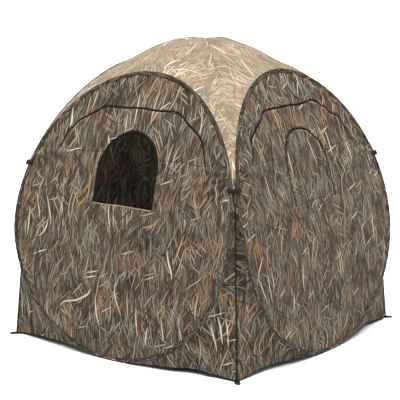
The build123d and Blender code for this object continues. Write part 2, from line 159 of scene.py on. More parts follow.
def cloud(u, v, seed):
    """Smooth random field between -1 and 1 with one bump to each unit."""
    grid = np.random.RandomState(seed).uniform(-1, 1, (64, 64))
    iu, iv = np.floor(u).astype(int), np.floor(v).astype(int)
    fu, fv = u - iu, v - iv
    fu, fv = fu * fu * (3 - 2 * fu), fv * fv * (3 - 2 * fv)
    low = grid[iu % 64, iv % 64] * (1 - fu) + grid[(iu + 1) % 64, iv % 64] * fu
    high = grid[iu % 64, (iv + 1) % 64] * (1 - fu) + grid[(iu + 1) % 64, (iv + 1) % 64] * fu
    return low * (1 - fv) + high * fv


def slack(side, u, z):
    """How far the cloth of a wall stands off its smooth bow: puckers, creases and soft hollows."""
    seed = 10 * list(sides).index(side) + 3
    rise = np.where(z > hoop_waist, hoop_top - hoop_waist, hoop_waist)
    inward = 1 - np.hypot(u / hoop_half, (z - hoop_waist) / rise)
    edge = np.clip(inward * 0.75 - sleeve_wide, 0, 1)
    angle = np.arctan2(z - hoop_waist, u)
    upper = np.clip((z - 0.75) / 0.5, 0, 1)
    drift = 1.6 * cloud(angle * 5 + 20, 0 * u, seed)
    gather = 0.0078 * np.sin(angle * 46 + 2 * drift) * np.exp(-edge / 0.11) * (0.15 + 0.85 * upper)
    gather += 0.0056 * np.sin(angle * 27 + 3 * drift) * np.exp(-edge / 0.19) * upper
    pull = 0 * u
    for hand in (-1, 1):
        across, above = hoop_half - 0.05 - hand * u, z - tie_level - 0.07
        away = np.hypot(across, above)
        way = np.arctan2(above, across)
        ripple = np.sin(way * 17 + 2.2 * cloud(way * 2 + 9, away * 5, seed + hand))
        pull += 0.0125 * ripple * np.exp(-away / 0.16) * np.clip(away / 0.06, 0, 1)
    soft = 0.008 * cloud(u * 2.1 + 7, z * 2.1, seed + 1) + 0.0035 * cloud(u * 7 + 3, z * 5, seed + 2)
    hang = 0.004 * cloud(u * 11 + 5, z * 1.7, seed + 3) * np.clip((1.0 - z) / 0.5, 0, 1)
    pinned = np.clip(edge / 0.012, 0, 1)
    return (gather + pull + soft * np.clip(edge / 0.12, 0, 1) + hang) * (0.25 + 0.75 * pinned)


def on_cloth(side, u, z, lift=0.0):
    """Points on a wall's cloth as it really stands, drawn a little out of true between its seams."""
    seed = 10 * list(sides).index(side) + 7
    rise = np.where(z > hoop_waist, hoop_top - hoop_waist, hoop_waist)
    free = np.clip((1 - np.hypot(u / hoop_half, (z - hoop_waist) / rise)) / 0.15, 0, 1)
    stand = slack(side, u, z) + lift
    across = u + 0.0050 * free * cloud(u * 9 + 30, z * 9, seed)
    up = z + 0.0050 * free * cloud(u * 9 + 3, z * 9 + 20, seed + 1)
    return on_panel(side, across, up, stand)


def hoop_line(inset, count=420):
    """Points round a hoop in its own plane, a set distance inside its outer edge."""
    a = np.linspace(0, 2 * math.pi, count, endpoint=False)
    rise = np.where(np.sin(a) > 0, hoop_top - hoop_waist, hoop_waist)
    return np.stack([(hoop_half - inset) * np.cos(a), hoop_waist + (rise - inset) * np.sin(a)], 1)


def inside(points, line):
    """Which points lie inside a closed line."""
    x, y = points[:, 0], points[:, 1]
    hits = np.zeros(len(points), bool)
    for (x0, y0), (x1, y1) in zip(line, np.roll(line, -1, 0)):
        if y0 != y1:
            cross = (y0 > y) != (y1 > y)
            hits ^= cross & (x < (x1 - x0) * (y - y0) / (y1 - y0) + x0)
    return hits


def gap_to(points, line):
    """Distance from each point to the nearest stretch of a closed line."""
    best = np.full(len(points), 9.0)
    for a, b in zip(line, np.roll(line, -1, 0)):
        along = b - a
        t = np.clip(((points - a) @ along) / max(along @ along, 1e-12), 0, 1)
        best = np.minimum(best, np.hypot(*(points - a - t[:, None] * along).T))
    return best


def cut_cloth(outline, hole=None, step=cloth_step):
    """Flat cloth inside an outline and outside a hole, as points and triangles about a step across."""
    low, high = outline.min(0), outline.max(0)
    rows = np.arange(low[1], high[1], step * 0.87)
    across = np.arange(low[0], high[0], step)
    loose = np.concatenate([
        np.stack([across + (k % 2) * step / 2, np.full(len(across), z)], 1) for k, z in enumerate(rows)
    ])
    loops = [outline] if hole is None else [outline, hole]
    keep = inside(loose, outline)
    for line in loops:
        keep &= gap_to(loose, line) > step * 0.45
    if hole is not None:
        keep &= ~inside(loose, hole)
    loose = loose[keep]
    points, edges = [], []
    for line in loops:
        first = len(points)
        points += [tuple(p) for p in line]
        edges += [(first + k, first + (k + 1) % len(line)) for k in range(len(line))]
    points += [tuple(p) for p in loose]
    made = geometry.delaunay_2d_cdt([Vector(p) for p in points], edges, [], 0, 1e-7)
    flat = np.array([tuple(p) for p in made[0]])
    faces = np.array([tuple(f) for f in made[2]])
    middles = flat[faces].mean(1)
    wanted = inside(middles, outline)
    if hole is not None:
        wanted &= ~inside(middles, hole)
    faces = faces[wanted]
    a, b, c = flat[faces[:, 0]], flat[faces[:, 1]], flat[faces[:, 2]]
    size = (b - a)[:, 0] * (c - a)[:, 1] - (b - a)[:, 1] * (c - a)[:, 0]
    faces = faces[np.abs(size) > 1e-10]
    size = size[np.abs(size) > 1e-10]
    faces[size < 0] = faces[size < 0][:, ::-1]
    return flat, faces


def sew(name, outer, inner, faces, prints, cloths):
    """A closed thin cloth from its outer and inner faces, joined round every free edge."""
    count = len(outer)
    edges = np.concatenate([faces[:, [0, 1]], faces[:, [1, 2]], faces[:, [2, 0]]])
    seen = set(map(tuple, edges.tolist()))
    rim = [(a, b) for a, b in seen if (b, a) not in seen]
    polys = [tuple(f) for f in faces.tolist()]
    polys += [(c + count, b + count, a + count) for a, b, c in faces.tolist()]
    polys += [(b, a, a + count, b + count) for a, b in rim]
    mesh = bpy.data.meshes.new(name)
    mesh.from_pydata(np.concatenate([outer, inner]).tolist(), [], polys)
    layer = mesh.uv_layers.new(name="print")
    spots = np.concatenate([prints, prints])
    at = np.zeros(len(mesh.loops), np.int32)
    mesh.loops.foreach_get("vertex_index", at)
    layer.data.foreach_set("uv", spots[at].astype(np.float32).ravel())
    for cloth in cloths:
        mesh.materials.append(cloth)
    mesh.polygons.foreach_set("use_smooth", [True] * (2 * len(faces)) + [False] * len(rim))
    which = [0] * len(faces) + [1] * len(faces) + [0] * len(rim)
    mesh.polygons.foreach_set("material_index", [min(w, len(cloths) - 1) for w in which])
    mesh.update()
    piece = bpy.data.objects.new(name, mesh)
    bpy.context.scene.collection.objects.link(piece)
    return piece


# The print is a stand of dry reeds: fine upright stems, then blades in brown, grey green, rust and straw
# that lean and curl over each other, drawn here as long thin cells laid one layer over the next.
def add_node(tree, kind, settings=(), inputs=()):
    """A shader node with its settings and inputs; an input that is a socket is linked."""
    made = tree.nodes.new(kind)
    for key, value in dict(settings).items():
        setattr(made, key, value)
    for key, value in dict(inputs).items():
        if isinstance(value, bpy.types.NodeSocket):
            tree.links.new(value, made.inputs[key])
        else:
            made.inputs[key].default_value = value
    return made


def new_finish(name):
    """A new material with its nodes, its shader and the place on the cloth that its pattern follows."""
    finish = bpy.data.materials.new(name)
    finish.use_nodes = True
    tree = finish.node_tree
    spot = add_node(tree, "ShaderNodeUVMap", {"uv_map": "print"}).outputs["UV"]
    return finish, tree, tree.nodes["Principled BSDF"], spot


def mottle(tree, spot, scale, detail):
    """Soft random mottling."""
    return add_node(tree, "ShaderNodeTexNoise", {}, {"Vector": spot, "Scale": scale, "Detail": detail})


def ribs(tree, spot, direction, scale):
    """Even ridges, as woven threads make."""
    facts = {"Vector": spot, "Scale": scale}
    return add_node(tree, "ShaderNodeTexWave", {"bands_direction": direction}, facts).outputs["Fac"]


def joined(tree, operation, first, second):
    """Two values put together by a sum, a product or the like."""
    return add_node(tree, "ShaderNodeMath", {"operation": operation}, {0: first, 1: second}).outputs[0]


def raised(tree, height, strength, distance, **under):
    """A bump made from a height, over an earlier one if there is one."""
    facts = {"Height": height, "Strength": strength, "Distance": distance, **under}
    return add_node(tree, "ShaderNodeBump", {}, facts).outputs["Normal"]


def fade(tree, value, low, high, start=0.0, end=1.0):
    """A value spread from one range to another, with soft ends."""
    node = add_node(tree, "ShaderNodeMapRange", {"interpolation_type": "SMOOTHSTEP"}, {
        "Value": value, "From Min": low, "From Max": high, "To Min": start, "To Max": end,
    })
    return node.outputs["Result"]


def blend_colour(tree, share, below, above, way="MIX"):
    """One colour laid over another by a share."""
    node = tree.nodes.new("ShaderNodeMix")
    node.data_type = "RGBA"
    node.blend_type = way
    for socket, value in ((node.inputs[0], share), (node.inputs[6], below), (node.inputs[7], above)):
        if isinstance(value, bpy.types.NodeSocket):
            tree.links.new(value, socket)
        else:
            socket.default_value = value
    return node.outputs[2]


def colour_steps(tree, value, steps):
    """A run of colours picked by a value."""
    ramp = tree.nodes.new("ShaderNodeValToRGB")
    tree.links.new(value, ramp.inputs["Fac"])
    ramp.color_ramp.interpolation = "CONSTANT"
    while len(ramp.color_ramp.elements) < len(steps):
        ramp.color_ramp.elements.new(1.0)
    for k, colour in enumerate(steps):
        ramp.color_ramp.elements[k].position = k / len(steps)
        ramp.color_ramp.elements[k].color = (*colour, 1)
    return ramp.outputs["Color"]


reed_dark = (0.030, 0.021, 0.014)
reed_brown = (0.100, 0.066, 0.038)
reed_mid = (0.175, 0.125, 0.078)
reed_tan = (0.300, 0.225, 0.140)
reed_pale = (0.470, 0.385, 0.275)
reed_rust = (0.250, 0.125, 0.058)
reed_green = (0.150, 0.165, 0.125)
reed_grey = (0.235, 0.215, 0.180)
reed_layers = (
    # lean in degrees, cells across and along a metre, blade width, share of cells used, curl, colours
    (4, 90, 4.6, 0.24, 0.85, 0.03, (reed_dark, reed_mid, reed_brown, reed_grey)),
    (-11, 78, 4.0, 0.24, 0.80, 0.04, (reed_mid, reed_dark, reed_green, reed_tan)),
    (19, 70, 3.6, 0.22, 0.70, 0.05, (reed_rust, reed_mid, reed_dark, reed_grey)),
    (-31, 60, 3.4, 0.20, 0.55, 0.06, (reed_brown, reed_tan, reed_green, reed_dark)),
    (40, 56, 3.4, 0.19, 0.50, 0.06, (reed_tan, reed_rust, reed_mid, reed_dark)),
    (-62, 50, 3.4, 0.16, 0.30, 0.08, (reed_mid, reed_grey, reed_dark)),
    (66, 48, 3.2, 0.15, 0.28, 0.08, (reed_tan, reed_brown, reed_pale)),
    (-5, 42, 1.9, 0.17, 0.50, 0.07, (reed_tan, reed_rust, reed_mid, reed_green, reed_pale)),
    (13, 34, 1.5, 0.14, 0.42, 0.09, (reed_grey, reed_dark, reed_tan, reed_rust)),
    (-17, 26, 1.2, 0.11, 0.35, 0.12, (reed_pale, reed_dark, reed_mid, reed_green)),
    (24, 15, 0.85, 0.062, 0.42, 0.22, (reed_pale, reed_tan, reed_dark)),
    (-20, 13, 0.80, 0.056, 0.36, 0.24, (reed_dark, reed_pale, reed_grey, reed_brown)),
)


def reed_print(name, strength=1.0, wash=0.0, wash_colour=(0.8, 0.7, 0.55)):
    """Cloth printed with reeds; strength scales the ink, and wash fades it to a pale ground."""
    cloth, tree, shader, spot = new_finish(name)
    stir = mottle(tree, spot, 2.3, 1.0)
    patch = mottle(tree, spot, 5.5, 2.0)
    earth = fade(tree, patch.outputs["Fac"], 0.35, 0.65)
    ground = blend_colour(tree, earth, (0.080, 0.054, 0.033, 1), (0.165, 0.132, 0.088, 1))
    stems = add_node(tree, "ShaderNodeMapping", {}, {
        "Vector": spot, "Scale": (150, 9, 1), "Rotation": (0, 0, 0.06),
    })
    stem_tone = mottle(tree, stems.outputs["Vector"], 1.0, 3.0)
    stem_share = fade(tree, stem_tone.outputs["Fac"], 0.40, 0.62)
    ground = blend_colour(tree, stem_share, (0.035, 0.026, 0.018, 1), ground)
    curl = add_node(tree, "ShaderNodeVectorMath", {"operation": "SUBTRACT"}, {
        0: stir.outputs["Color"], 1: (0.5, 0.5, 0.5),
    })
    for k, (lean, across, along, width, share, bend, colours) in enumerate(reed_layers):
        bent = add_node(tree, "ShaderNodeVectorMath", {"operation": "MULTIPLY_ADD"}, {
            0: curl.outputs["Vector"], 1: (bend * 2.4, bend * 0.6, 0), 2: spot,
        })
        laid = add_node(tree, "ShaderNodeMapping", {"vector_type": "POINT"}, {
            "Vector": bent.outputs["Vector"],
            "Rotation": (0, 0, math.radians(lean)),
            "Location": (k * 1.37, k * 0.71, 0),
        })
        drawn = add_node(tree, "ShaderNodeVectorMath", {"operation": "MULTIPLY"}, {
            0: laid.outputs["Vector"], 1: (across, along, 1),
        })
        cells = add_node(tree, "ShaderNodeTexVoronoi", {"voronoi_dimensions": "2D"}, {
            "Vector": drawn.outputs["Vector"], "Scale": 1.0,
        })
        chance = add_node(tree, "ShaderNodeSeparateColor", {}, {"Color": cells.outputs["Color"]})
        used = joined(tree, "LESS_THAN", chance.outputs["Red"], share)
        from_middle = cells.outputs["Distance"]
        blade = joined(tree, "MULTIPLY", fade(tree, from_middle, width, width * 0.8), used)
        shade = joined(tree, "MULTIPLY", fade(tree, from_middle, width * 1.9, width), used)
        ground = blend_colour(tree, shade, ground, (0.62, 0.60, 0.58, 1), "MULTIPLY")
        ink = colour_steps(tree, chance.outputs["Green"], colours)
        vein = fade(tree, from_middle, 0.0, width, 1.15, 0.75)
        veined = add_node(tree, "ShaderNodeVectorMath", {"operation": "SCALE"}, {0: ink, "Scale": vein})
        ground = blend_colour(tree, blade, ground, veined.outputs["Vector"])
    if wash:
        ground = blend_colour(tree, wash, ground, (*wash_colour, 1))
    inked = add_node(tree, "ShaderNodeVectorMath", {"operation": "SCALE"}, {0: ground, "Scale": strength})
    tree.links.new(inked.outputs["Vector"], shader.inputs["Base Color"])
    shader.inputs["Roughness"].default_value = 0.82
    shader.inputs["Specular IOR Level"].default_value = 0.12
    shader.inputs["Sheen Weight"].default_value = 0.02
    crumple = raised(tree, mottle(tree, spot, 45.0, 3.0).outputs["Fac"], 0.5, 0.004)
    weave = joined(tree, "MAXIMUM", ribs(tree, spot, "X", 420.0), ribs(tree, spot, "Y", 420.0))
    tree.links.new(raised(tree, weave, 0.25, 0.0003, Normal=crumple), shader.inputs["Normal"])
    return cloth


def black_coating(name):
    """The black rubbery coating on the cloth's inner face, with faint scuffs."""
    coat, tree, shader, spot = new_finish(name)
    scuffs = mottle(tree, spot, 14.0, 5.0).outputs["Fac"]
    scuffed = fade(tree, scuffs, 0.4, 0.7)
    colour = blend_colour(tree, scuffed, (0.011, 0.011, 0.012, 1), (0.026, 0.026, 0.027, 1))
    tree.links.new(colour, shader.inputs["Base Color"])
    shader.inputs["Roughness"].default_value = 0.55
    tree.links.new(raised(tree, scuffs, 0.3, 0.002), shader.inputs["Normal"])
    return coat


wall_print = reed_print("reed_print", strength=0.72)
inner_coat = black_coating("black_coating")

flap_fold = 1.092
flap_shoulder = (0.432, 1.225)
flap_crown = (0.250, 1.338)
flap_bend = 0.18
zip_gap = 0.005
window_half = 0.200
window_sill = 0.835
window_spring = 1.020
door_half = 0.290
door_sill = 0.150
door_spring = 1.010


def round_corners(points, radius, step=0.012):
    """An open line through points with its corners rounded, as close spots along it."""
    points = [np.array(p, float) for p in points]
    line = [points[0]]
    for before, corner, after in zip(points, points[1:], points[2:]):
        a, b = before - corner, after - corner
        a, b = a / np.linalg.norm(a), b / np.linalg.norm(b)
        half = math.acos(np.clip(a @ b, -1, 1)) / 2
        setback = radius / math.tan(half)
        centre = corner + (a + b) / np.linalg.norm(a + b) * radius / math.sin(half)
        start, end = corner + a * setback - centre, corner + b * setback - centre
        swing = math.pi - 2 * half
        count = max(3, int(radius * swing / step) + 1)
        for k in range(count + 1):
            mix = math.sin(swing * (1 - k / count)) * start + math.sin(swing * k / count) * end
            line.append(centre + mix / math.sin(swing))
    line.append(points[-1])
    spots = [line[0]]
    for a, b in zip(line, line[1:]):
        parts = max(1, int(np.linalg.norm(b - a) / step))
        spots += [a + (b - a) * k / parts for k in range(1, parts + 1)]
    return np.array(spots)


def shifted(line, margin):
    """An open line moved sideways, to its left, by a margin."""
    way = np.gradient(line, axis=0)
    way /= np.linalg.norm(way, axis=1)[:, None]
    return line + np.stack([-way[:, 1], way[:, 0]], 1) * margin


def flap_line(margin, foot):
    """The drop flap's edge from its right foot over the top to its left foot, grown by a margin."""
    low = (2 * 0.5 - flap_shoulder[0], 2 * flap_fold - flap_shoulder[1])
    points = [low, flap_shoulder, flap_crown]
    points += [(-x, z) for x, z in reversed(points)]
    line = shifted(round_corners(points, flap_bend), -margin)
    kept = line[line[:, 1] > foot + 0.002]
    first = kept[0] + (kept[1] - kept[0]) * (foot - kept[0][1]) / (kept[1][1] - kept[0][1])
    return np.concatenate([[first], kept, [(-first[0], foot)]])


def arch_line(half, spring, foot):
    """An arch's edge from its right foot over the top to its left foot."""
    sides_count = max(2, int((spring - foot) / cloth_step))
    right = [(half, foot + (spring - foot) * k / sides_count) for k in range(sides_count)]
    top_count = int(half * math.pi / cloth_step)
    turns = [math.pi * k / top_count for k in range(top_count + 1)]
    top = [(half * math.cos(turn), spring + half * math.sin(turn)) for turn in turns]
    return np.array(right + top + [(-x, z) for x, z in reversed(right)])


def level_line(start, end, z):
    """Spots along a level line, without its ends."""
    count = max(2, int(abs(end - start) / cloth_step))
    return np.array([(start + (end - start) * k / count, z) for k in range(1, count)])


def window_hole():
    """The opening in a wall for its drop flap and its window together."""
    over = flap_line(zip_gap, flap_fold)
    arch = arch_line(window_half + zip_gap, window_spring, window_sill)
    low = arch[arch[:, 1] < flap_fold - 0.004]
    left, right = low[low[:, 0] < 0], low[low[:, 0] > 0]
    shoulder = math.sqrt((window_half + zip_gap) ** 2 - (flap_fold - window_spring) ** 2)
    return np.concatenate([
        over, level_line(over[-1][0], -shoulder, flap_fold), [(-shoulder, flap_fold)], left,
        level_line(-window_half - zip_gap, window_half + zip_gap, window_sill), right,
        [(shoulder, flap_fold)], level_line(shoulder, over[0][0], flap_fold),
    ])


def lay_cloth(name, side, flat, faces, cloths, lift=0.0, shift=(0, 0)):
    """Cloth laid on a panel with its slack, printed where it lies."""
    outer = on_cloth(side, flat[:, 0], flat[:, 1], lift)
    inner = on_cloth(side, flat[:, 0], flat[:, 1], lift - cloth_thick)
    offset = np.array([1.9 * list(sides).index(side) + shift[0], 0.43 * list(sides).index(side) + shift[1]])
    return sew(name, outer, inner, faces, flat + offset, cloths)


door_arch = arch_line(door_half + zip_gap, door_spring, door_sill - zip_gap)
door_hole = np.concatenate([door_arch, level_line(door_arch[-1][0], door_arch[0][0], door_sill - zip_gap)])
for side in sides:
    hole = window_hole() if side in window_sides else door_hole
    flat, faces = cut_cloth(hoop_line(0.018), hole)
    wall = lay_cloth(f"{side}_wall_cloth", side, flat, faces, (wall_print, inner_coat))
    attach(wall, side)
    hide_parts(f"{side}_wall")

# --- Sleeves and hoops ---------------------------------------------------------------------------------
# A strip of the same cloth folded over the edge of each wall makes the channel for the spring steel band.
# It stands up as a round ridge, puckered by its curve.
sleeve_print = reed_print("sleeve_print", strength=0.34)


def sweep_ring(name, rings, prints, closed, cloth):
    """A skin over a row of like rings of points, closed on itself or capped at both ends."""
    rows, spots = rings.shape[0], rings.shape[1]
    polys = []
    for r in range(rows if closed else rows - 1):
        for s in range(spots):
            n, t = (r + 1) % rows, (s + 1) % spots
            polys.append((r * spots + s, n * spots + s, n * spots + t, r * spots + t))
    if not closed:
        polys.append(tuple(range(spots)))
        polys.append(tuple((rows - 1) * spots + s for s in reversed(range(spots))))
    mesh = bpy.data.meshes.new(name)
    mesh.from_pydata(rings.reshape(-1, 3).tolist(), [], polys)
    layer = mesh.uv_layers.new(name="print")
    at = np.zeros(len(mesh.loops), np.int32)
    mesh.loops.foreach_get("vertex_index", at)
    layer.data.foreach_set("uv", prints.reshape(-1, 2)[at].astype(np.float32).ravel())
    mesh.materials.append(cloth)
    mesh.polygons.foreach_set("use_smooth", [True] * len(mesh.polygons))
    mesh.update()
    piece = bpy.data.objects.new(name, mesh)
    bpy.context.scene.collection.objects.link(piece)
    return piece


sleeve_spots = 16
sleeve_rows = 520
sleeve_half_wide = 0.0115
sleeve_bulge = 0.0056
for number, side in enumerate(sides):
    a = np.linspace(0, 2 * math.pi, sleeve_rows, endpoint=False)
    b = np.linspace(0, 2 * math.pi, sleeve_spots, endpoint=False)
    swell = 0.92 + 0.20 * np.sin(a * 78 + 2 * cloud(a * 6, 0 * a, 70 + number))
    swell += 0.08 * cloud(a * 24, 0 * a, 80 + number)
    inset = sleeve_wide / 2 - sleeve_half_wide * np.cos(b)[None, :] + 0 * a[:, None]
    lift = sleeve_bulge * np.sin(b)[None, :] * swell[:, None]
    rise = np.where(np.sin(a) > 0, hoop_top - hoop_waist, hoop_waist)[:, None]
    u = (hoop_half - inset) * np.cos(a)[:, None]
    z = hoop_waist + (rise - inset) * np.sin(a)[:, None]
    rings = on_panel(side, u.ravel(), z.ravel(), lift.ravel()).reshape(sleeve_rows, sleeve_spots, 3)
    round_way = a[:, None] * 0.75 + 0 * b[None, :] + 0.8 * number
    prints = np.stack([b[None, :] * 0.012 + 0 * a[:, None] + 3.1 * number, round_way], 2)
    sleeve = sweep_ring(f"{side}_sleeve_cloth", rings, prints, True, sleeve_print)
    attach(sleeve, side)
    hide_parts(f"{side}_sleeve")

# --- Drop flaps and window flaps -----------------------------------------------------------------------
# The arc zipper frees the top of a wall, which drops inward. Below and inside it, a zipper of its own holds
# an arched window flap. Both are cut from the wall's cloth. The front window is open: its flap hangs inside.
flap_foot = flap_fold + 0.0001
flap_hang = math.radians(-165.01)
fold_reach = 0.746618


def drop_flap_edge():
    """The drop flap's outline: its own arc, and round the window's arch below it."""
    over = flap_line(-zip_gap, flap_foot)
    arch = arch_line(window_half + zip_gap, window_spring, window_sill)
    high = arch[arch[:, 1] > flap_foot + 0.004]
    shoulder = math.sqrt((window_half + zip_gap) ** 2 - (flap_foot - window_spring) ** 2)
    return np.concatenate([
        over, level_line(over[-1][0], -shoulder, flap_foot), [(-shoulder, flap_foot)], high[::-1],
        [(shoulder, flap_foot)], level_line(shoulder, over[0][0], flap_foot),
    ])


def arched_edge(half, spring, foot):
    """A closed outline with a round top and a level foot."""
    arch = arch_line(half, spring, foot)
    return np.concatenate([arch, level_line(arch[-1][0], arch[0][0], foot)])


for side in window_sides:
    flat, faces = cut_cloth(drop_flap_edge())
    drop_flap = lay_cloth(f"{side}_drop_flap_cloth", side, flat, faces, (wall_print, inner_coat))
    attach(drop_flap, f"{side}_drop_flap")
    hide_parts(f"{side}_drop_flap")

    flat, faces = cut_cloth(arched_edge(window_half - zip_gap, window_spring, window_sill + 0.0002))
    window_flap = lay_cloth(f"{side}_window_flap_cloth", side, flat, faces, (wall_print, inner_coat))
    if side == "front":
        for spot in window_flap.data.vertices:
            back, up = spot.co.y + fold_reach, spot.co.z - window_sill
            spot.co.y = back * math.cos(flap_hang) - up * math.sin(flap_hang) - fold_reach
            spot.co.z = back * math.sin(flap_hang) + up * math.cos(flap_hang) + window_sill
    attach(window_flap, f"{side}_window_flap")
    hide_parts(f"{side}_window_flap")

# --- Window net ----------------------------------------------------------------------------------------
# The open window has a see-through net behind it, knitted black and faintly printed like the walls, and a
# pale turned hem along its sill.
net_print = reed_print("net_print", strength=0.085)
net_shader = net_print.node_tree.nodes["Principled BSDF"]
net_shader.inputs["Alpha"].default_value = 0.86
net_shader.inputs["Roughness"].default_value = 1.0
net_shader.inputs["Specular IOR Level"].default_value = 0.05
net_shader.inputs["Sheen Weight"].default_value = 0.0
net_margin = 0.009
flat, faces = cut_cloth(arched_edge(window_half + net_margin, window_spring, window_sill - net_margin))
net = lay_cloth("front_net_cloth", "front", flat, faces, (net_print,), lift=-0.0032)
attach(net, "front")
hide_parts("front_net")


def ribbon(name, side, line, width, low, high, cloth):
    """A flat strip laid along a line on a panel's cloth, from one lift to another, softly rounded over."""
    way = np.gradient(line, axis=0)
    way /= np.linalg.norm(way, axis=1)[:, None]
    off = np.stack([-way[:, 1], way[:, 0]], 1)
    middle = (low + high) / 2
    spots = [(-0.5, low), (-0.5, middle), (-0.3, high), (0.3, high), (0.5, middle), (0.5, low)]
    rings = []
    for across, lift in spots:
        place = line + off * across * width
        rings.append(on_cloth(side, place[:, 0], place[:, 1], lift))
    rings = np.stack(rings, 1)
    along = np.concatenate([[0], np.cumsum(np.linalg.norm(np.diff(line, axis=0), axis=1))])
    over = np.array([across * width for across, lift in spots])
    prints = np.stack([over[None, :] + 0 * along[:, None], along[:, None] + 0 * over[None, :]], 2)
    return sweep_ring(name, rings, prints, False, cloth)


hem_cloth = reed_print("hem_print", strength=0.7, wash=0.5, wash_colour=(0.40, 0.31, 0.24))
sill_line = np.array([(x, window_sill - 0.003) for x in np.linspace(-window_half, window_half, 60)])
hem = ribbon("front_window_hem", "front", sill_line, 0.0055, -0.0005, 0.0022, hem_cloth)
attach(hem, "front")

# --- Zippers -------------------------------------------------------------------------------------------
# Coil zippers: a black woven tape sewn behind the cloth's edges, with a nylon coil that stands up between
# them. The arch over each window is sewn to the drop flap and drops with it.
zip_black, zip_tree, zip_shader, zip_spot = new_finish("zip_black")
zip_dust = fade(zip_tree, mottle(zip_tree, zip_spot, 60.0, 4.0).outputs["Fac"], 0.45, 0.75)
zip_colour = blend_colour(zip_tree, zip_dust, (0.0015, 0.0014, 0.0013, 1), (0.007, 0.0062, 0.0055, 1))
zip_tree.links.new(zip_colour, zip_shader.inputs["Base Color"])
zip_weave = ribs(zip_tree, zip_spot, "DIAGONAL", 300.0)
zip_tree.links.new(raised(zip_tree, zip_weave, 0.4, 0.0003), zip_shader.inputs["Normal"])
zip_shader.inputs["Roughness"].default_value = 0.8
zip_shader.inputs["Specular IOR Level"].default_value = 0.12
coil_pitch = 0.0022


def close_spots(line, step):
    """An open line taken up again at an even step."""
    along = np.concatenate([[0], np.cumsum(np.linalg.norm(np.diff(line, axis=0), axis=1))])
    even = np.linspace(0, along[-1], int(along[-1] / step) + 2)
    return np.stack([np.interp(even, along, line[:, 0]), np.interp(even, along, line[:, 1])], 1), even


def coil_zip(name, side, line, body, node):
    """A zipper along a line on a panel: tape behind the cloth and a coil with a ridge for each turn."""
    line, along = close_spots(line, coil_pitch / 2)
    way = np.gradient(line, axis=0)
    way /= np.linalg.norm(way, axis=1)[:, None]
    off = np.stack([-way[:, 1], way[:, 0]], 1)
    turn = np.where(np.arange(len(line)) % 2 == 0, 1.0, 0.45)
    # place across, lift off the cloth, and how much higher each turn of the coil stands
    half_profile = (
        (0.0036, 0.0004, 0.0006), (0.0042, -0.0016, 0), (0.0095, -0.0020, 0), (0.0095, -0.0028, 0),
    )
    profile = [(-across, lift, ridge) for across, lift, ridge in reversed(half_profile)]
    profile += [(0.0, 0.0006, 0.0012), *half_profile]
    rings, prints = [], []
    for across, lift, ridge in profile:
        place = line + off * across
        rings.append(on_cloth(side, place[:, 0], place[:, 1], lift + ridge * turn))
        prints.append(np.stack([0 * along + across, along], 1))
    made = sweep_ring(name, np.stack(rings, 1), np.stack(prints, 1), False, zip_black)
    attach(made, body)
    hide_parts(node)
    return made


for side in window_sides:
    coil_zip(f"{side}_arc_zip_coil", side, flap_line(0.0, flap_fold + 0.003), side, f"{side}_arc_zip")
    arch = arch_line(window_half, window_spring, window_sill)
    right_run = arch[(arch[:, 0] > 0) & (arch[:, 1] < flap_fold - 0.001)]
    left_run = arch[(arch[:, 0] < 0) & (arch[:, 1] < flap_fold - 0.001)]
    top_run = arch[arch[:, 1] > flap_fold + 0.001]
    coil_zip(f"{side}_window_zip_right", side, right_run, side, f"{side}_window_zip_sides")
    coil_zip(f"{side}_window_zip_left", side, left_run, side, f"{side}_window_zip_sides")
    coil_zip(f"{side}_window_zip_top", side, top_run, f"{side}_drop_flap", f"{side}_window_zip_arch")

# --- Door ----------------------------------------------------------------------------------------------
# The way in is an arched door in the back wall. Its hinge side is sewn to the wall under a black binding,
# and one zipper runs from there over the top, down the far side and along the sill.
door_edge = arched_edge(door_half - zip_gap, door_spring, door_sill + zip_gap)
hinge_run = (door_edge[:, 0] > 0.2) & (door_edge[:, 1] < door_spring)
door_edge[hinge_run, 0] = np.minimum(door_edge[hinge_run, 0] + 0.009, door_half + 0.0042)
flat, faces = cut_cloth(door_edge)
door = lay_cloth("door_cloth", "back", flat, faces, (wall_print, inner_coat))
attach(door, "door")
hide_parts("door")
door_run = arch_line(door_half, door_spring, door_sill)
door_run = door_run[~((door_run[:, 0] > 0) & (door_run[:, 1] < door_spring - 0.001))]
door_foot = level_line(-door_half, door_half, door_sill)
door_run = np.concatenate([door_run, door_foot, [(door_half, door_sill)]])
coil_zip("door_zip_coil", "back", door_run, "back", "door_zip")
webbing, web_tree, web_shader, web_spot = new_finish("black_webbing")
web_ribs = ribs(web_tree, web_spot, "Y", 160.0)
web_weave = joined(web_tree, "MULTIPLY", web_ribs, ribs(web_tree, web_spot, "X", 110.0))
web_colour = blend_colour(web_tree, web_weave, (0.003, 0.003, 0.003, 1), (0.014, 0.0135, 0.013, 1))
web_tree.links.new(web_colour, web_shader.inputs["Base Color"])
web_tree.links.new(raised(web_tree, web_weave, 0.7, 0.0006), web_shader.inputs["Normal"])
web_shader.inputs["Roughness"].default_value = 0.85
web_shader.inputs["Specular IOR Level"].default_value = 0.15
hinge_line = np.array([(door_half + 0.0035, z) for z in np.linspace(door_sill, door_spring + 0.01, 90)])
hinge_tape = ribbon("door_hinge_binding", "back", hinge_line, 0.013, 0.0003, 0.0017, webbing)
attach(hinge_tape, "back")

